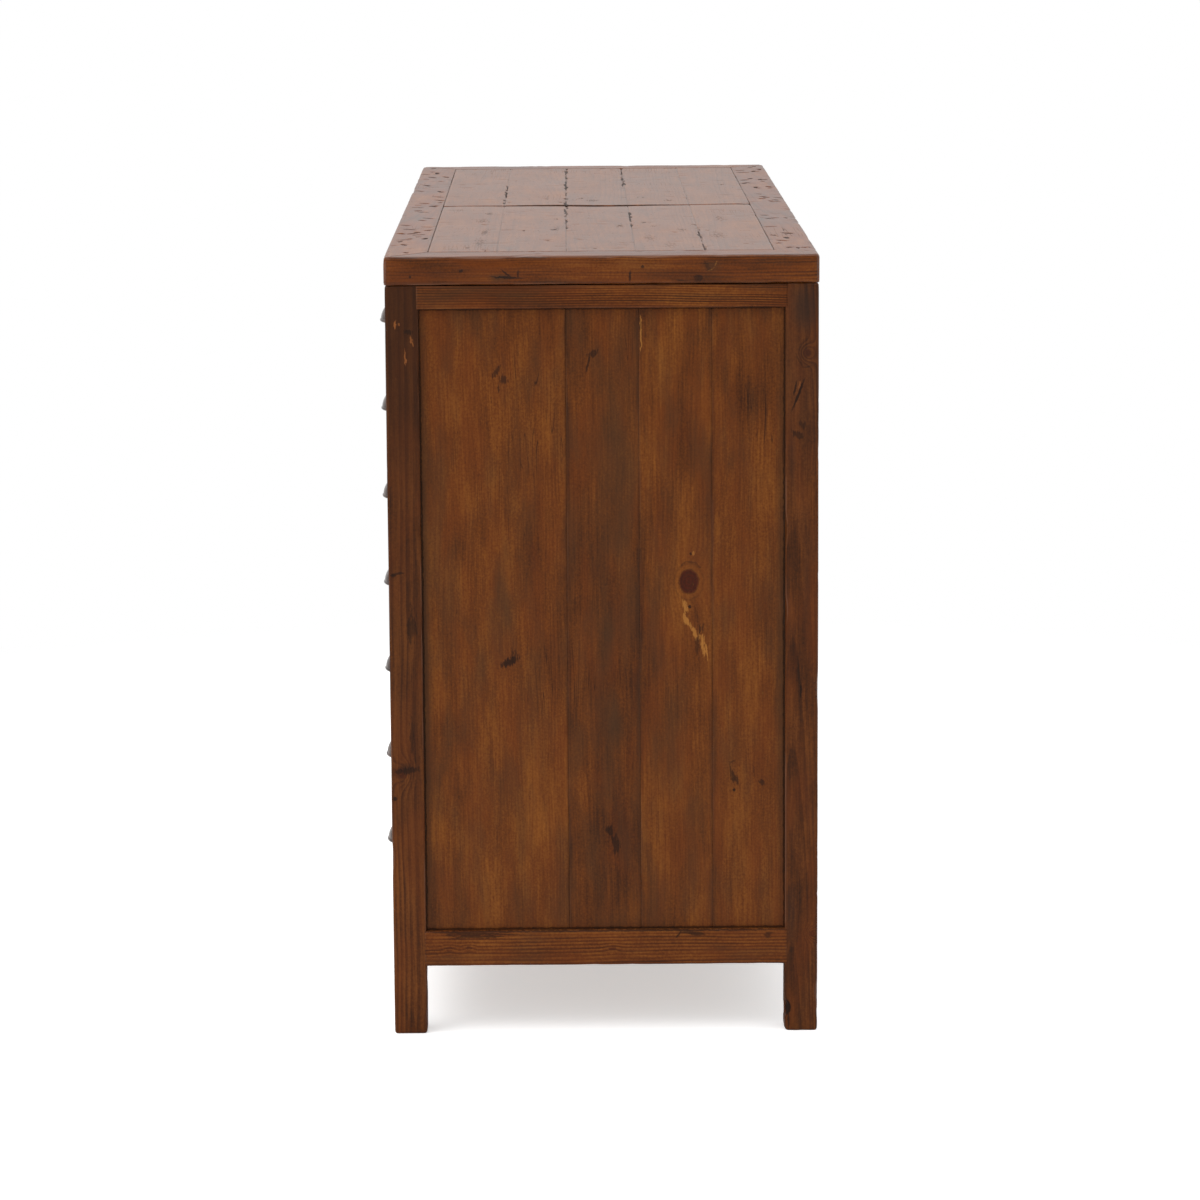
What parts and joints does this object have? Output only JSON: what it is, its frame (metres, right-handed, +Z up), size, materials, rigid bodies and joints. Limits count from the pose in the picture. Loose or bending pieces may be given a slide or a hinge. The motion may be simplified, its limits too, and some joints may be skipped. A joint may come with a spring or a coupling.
{
  "type": "apothecary chest",
  "caption": "Floor-standing chest of stained reclaimed pine with rows of small drawers behind cup pulls, framed end panels and a mitred plank top.",
  "frame": {"origin": "on the floor, in the middle of the whole outline, cup pulls included", "axes": "+X along the width to the pictured end, -Y out of the drawer fronts, +Z up"},
  "size_m": [1.32, 0.471, 0.838],
  "materials": {
    "stained_pine": "brown stain under a satin lacquer, worn at the edges",
    "raw_pine": "bare planed pine, darkened with age",
    "aged_pewter": "dark aged metal with a satin sheen",
    "screw_steel": "dull zinc"
  },
  "bodies": {
    "carcase": {"front_left_post": "stained_pine", "front_right_post": "stained_pine", "back_left_post": "stained_pine", "back_right_post": "stained_pine", "front_rails": "stained_pine", "side_rails": "stained_pine", "left_side_panel": "stained_pine", "right_side_panel": "stained_pine", "back_frame": "stained_pine", "back_panels": "stained_pine", "partitions": "stained_pine", "drawer_dividers": "stained_pine", "drawer_runners": "raw_pine", "drawer_guides": "raw_pine", "drawer_stops": "raw_pine", "top_frame": "stained_pine", "top_boards": "stained_pine", "top_screws": "screw_steel"},
    "left_drawer_1": {"drawer_left_1": "stained_pine", "pull_left_1": "aged_pewter"},
    "left_drawer_2": {"drawer_left_2": "stained_pine", "pull_left_2": "aged_pewter"},
    "left_drawer_3": {"drawer_left_3": "stained_pine", "pull_left_3": "aged_pewter"},
    "left_drawer_4": {"drawer_left_4": "stained_pine", "pull_left_4": "aged_pewter"},
    "left_drawer_5": {"drawer_left_5": "stained_pine", "pull_left_5": "aged_pewter"},
    "left_drawer_6": {"drawer_left_6": "stained_pine", "pull_left_6": "aged_pewter"},
    "left_drawer_7": {"drawer_left_7": "stained_pine", "pull_left_7": "aged_pewter"},
    "middle_drawer_1": {"drawer_middle_1": "stained_pine", "pull_middle_1": "aged_pewter"},
    "middle_drawer_2": {"drawer_middle_2": "stained_pine", "pull_middle_2": "aged_pewter"},
    "middle_drawer_3": {"drawer_middle_3": "stained_pine", "pull_middle_3": "aged_pewter"},
    "middle_drawer_4": {"drawer_middle_4": "stained_pine", "pull_middle_4": "aged_pewter"},
    "middle_drawer_5": {"drawer_middle_5": "stained_pine", "pull_middle_5": "aged_pewter"},
    "middle_drawer_6": {"drawer_middle_6": "stained_pine", "pull_middle_6": "aged_pewter"},
    "middle_drawer_7": {"drawer_middle_7": "stained_pine", "pull_middle_7": "aged_pewter"},
    "right_drawer_1": {"drawer_right_1": "stained_pine", "pull_right_1": "aged_pewter"},
    "right_drawer_2": {"drawer_right_2": "stained_pine", "pull_right_2": "aged_pewter"},
    "right_drawer_3": {"drawer_right_3": "stained_pine", "pull_right_3": "aged_pewter"},
    "right_drawer_4": {"drawer_right_4": "stained_pine", "pull_right_4": "aged_pewter"},
    "right_drawer_5": {"drawer_right_5": "stained_pine", "pull_right_5": "aged_pewter"},
    "right_drawer_6": {"drawer_right_6": "stained_pine", "pull_right_6": "aged_pewter"},
    "right_drawer_7": {"drawer_right_7": "stained_pine", "pull_right_7": "aged_pewter"}
  },
  "joints": [
    {"name": "left_drawer_1_slide", "type": "slide", "parent": "carcase", "child": "left_drawer_1", "axis": [0, -1, 0], "range_m": [0, 0.3]},
    {"name": "left_drawer_2_slide", "type": "slide", "parent": "carcase", "child": "left_drawer_2", "axis": [0, -1, 0], "range_m": [0, 0.3]},
    {"name": "left_drawer_3_slide", "type": "slide", "parent": "carcase", "child": "left_drawer_3", "axis": [0, -1, 0], "range_m": [0, 0.3]},
    {"name": "left_drawer_4_slide", "type": "slide", "parent": "carcase", "child": "left_drawer_4", "axis": [0, -1, 0], "range_m": [0, 0.3]},
    {"name": "left_drawer_5_slide", "type": "slide", "parent": "carcase", "child": "left_drawer_5", "axis": [0, -1, 0], "range_m": [0, 0.3]},
    {"name": "left_drawer_6_slide", "type": "slide", "parent": "carcase", "child": "left_drawer_6", "axis": [0, -1, 0], "range_m": [0, 0.3]},
    {"name": "left_drawer_7_slide", "type": "slide", "parent": "carcase", "child": "left_drawer_7", "axis": [0, -1, 0], "range_m": [0, 0.3]},
    {"name": "middle_drawer_1_slide", "type": "slide", "parent": "carcase", "child": "middle_drawer_1", "axis": [0, -1, 0], "range_m": [0, 0.3]},
    {"name": "middle_drawer_2_slide", "type": "slide", "parent": "carcase", "child": "middle_drawer_2", "axis": [0, -1, 0], "range_m": [0, 0.3]},
    {"name": "middle_drawer_3_slide", "type": "slide", "parent": "carcase", "child": "middle_drawer_3", "axis": [0, -1, 0], "range_m": [0, 0.3]},
    {"name": "middle_drawer_4_slide", "type": "slide", "parent": "carcase", "child": "middle_drawer_4", "axis": [0, -1, 0], "range_m": [0, 0.3]},
    {"name": "middle_drawer_5_slide", "type": "slide", "parent": "carcase", "child": "middle_drawer_5", "axis": [0, -1, 0], "range_m": [0, 0.3]},
    {"name": "middle_drawer_6_slide", "type": "slide", "parent": "carcase", "child": "middle_drawer_6", "axis": [0, -1, 0], "range_m": [0, 0.3]},
    {"name": "middle_drawer_7_slide", "type": "slide", "parent": "carcase", "child": "middle_drawer_7", "axis": [0, -1, 0], "range_m": [0, 0.3]},
    {"name": "right_drawer_1_slide", "type": "slide", "parent": "carcase", "child": "right_drawer_1", "axis": [0, -1, 0], "range_m": [0, 0.3]},
    {"name": "right_drawer_2_slide", "type": "slide", "parent": "carcase", "child": "right_drawer_2", "axis": [0, -1, 0], "range_m": [0, 0.3]},
    {"name": "right_drawer_3_slide", "type": "slide", "parent": "carcase", "child": "right_drawer_3", "axis": [0, -1, 0], "range_m": [0, 0.3]},
    {"name": "right_drawer_4_slide", "type": "slide", "parent": "carcase", "child": "right_drawer_4", "axis": [0, -1, 0], "range_m": [0, 0.3]},
    {"name": "right_drawer_5_slide", "type": "slide", "parent": "carcase", "child": "right_drawer_5", "axis": [0, -1, 0], "range_m": [0, 0.3]},
    {"name": "right_drawer_6_slide", "type": "slide", "parent": "carcase", "child": "right_drawer_6", "axis": [0, -1, 0], "range_m": [0, 0.3]},
    {"name": "right_drawer_7_slide", "type": "slide", "parent": "carcase", "child": "right_drawer_7", "axis": [0, -1, 0], "range_m": [0, 0.3]}
  ]
}
